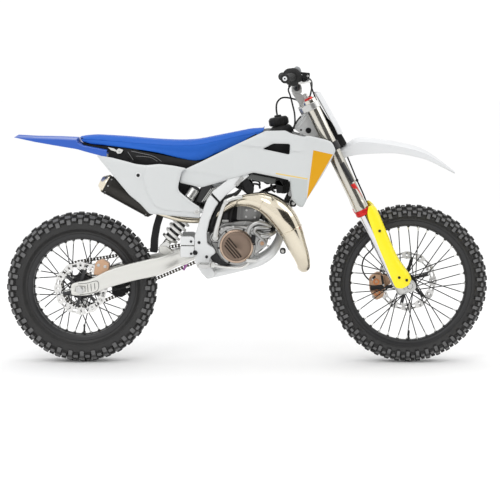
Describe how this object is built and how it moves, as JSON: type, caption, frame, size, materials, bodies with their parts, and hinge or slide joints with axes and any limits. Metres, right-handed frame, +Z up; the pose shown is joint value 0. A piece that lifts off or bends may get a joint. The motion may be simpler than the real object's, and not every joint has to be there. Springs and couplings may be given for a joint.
{
  "type": "motocross bike",
  "caption": "Small two-stroke off-road racing motorcycle with long saddle, spoked wheels with knobbly tyres, expansion exhaust and steering fork; no stand or lights.",
  "frame": {"origin": "the point on the saddle's top where the rider sits, in the middle plane", "axes": "+X forwards, +Y to the rider's left, +Z up; the wheels' lowest points share one level"},
  "size_m": [1.898, 0.7588, 1.17],
  "materials": {
    "frame": "satin",
    "alloy": "brushed",
    "cast_alloy": "cast",
    "bronze": "satin",
    "nickel": "polished",
    "dark_alloy": "satin",
    "black_plastic": "matte",
    "white_plastic": "gloss",
    "blue_plastic": "gloss",
    "yellow_plastic": "gloss",
    "seat_cover": "grained",
    "white_metal": "gloss",
    "black_metal": "satin",
    "steel": "brushed",
    "red_anodised": "anodised",
    "chrome": "polished",
    "tyre": "matte",
    "rubber": "matte",
    "grey_foam": "matte",
    "chain_steel": "oiled"
  },
  "bodies": {
    "chassis": {"frame": "frame", "airbox": "black_plastic", "swingarm": "alloy", "shock": "cast_alloy", "shock_spring": "white_metal", "engine_case": "cast_alloy", "clutch_cover": "bronze", "cylinder": "cast_alloy", "carburettor": "dark_alloy", "kick_starter": "alloy", "exhaust_pipe": "nickel", "silencer": "dark_alloy", "radiators": "black_metal", "hoses": "rubber", "fuel_tank": "black_plastic", "fuel_cap": "black_plastic", "seat": "seat_cover", "rear_fender": "blue_plastic", "side_panels": "white_plastic", "shrouds": "white_plastic", "frame_guards": "white_plastic", "foot_controls": "steel", "chain": "chain_steel", "chain_guide": "black_plastic", "rear_caliper": "bronze", "rear_axle": "steel"},
    "steering": {"triple_clamps": "dark_alloy", "fork_tubes": "alloy", "fork_wipers": "red_anodised", "fork_inners": "chrome", "fork_guards": "yellow_plastic", "front_fender": "white_plastic", "number_plate": "white_plastic", "handlebar": "black_metal", "bar_pad": "grey_foam", "grips": "rubber", "front_brake": "bronze", "front_axle": "steel"},
    "front_wheel": {"front_tyre": "tyre", "front_rim": "black_metal", "front_disc": "steel"},
    "rear_wheel": {"rear_tyre": "tyre", "rear_rim": "black_metal", "rear_disc": "steel", "rear_sprocket": "alloy"}
  },
  "joints": [
    {"name": "steering", "type": "hinge", "parent": "chassis", "child": "steering", "pos_m": [0.52081, 0, 0.04811], "axis": [-0.4384, 0, 0.8988], "range_deg": [-40, 40]},
    {"name": "front_wheel_spin", "type": "hinge", "parent": "steering", "child": "front_wheel", "pos_m": [0.89, 0, -0.564], "axis": [0, 1, 0], "continuous": true},
    {"name": "rear_wheel_spin", "type": "hinge", "parent": "chassis", "child": "rear_wheel", "pos_m": [-0.4, 0, -0.579], "axis": [0, 1, 0], "continuous": true}
  ]
}
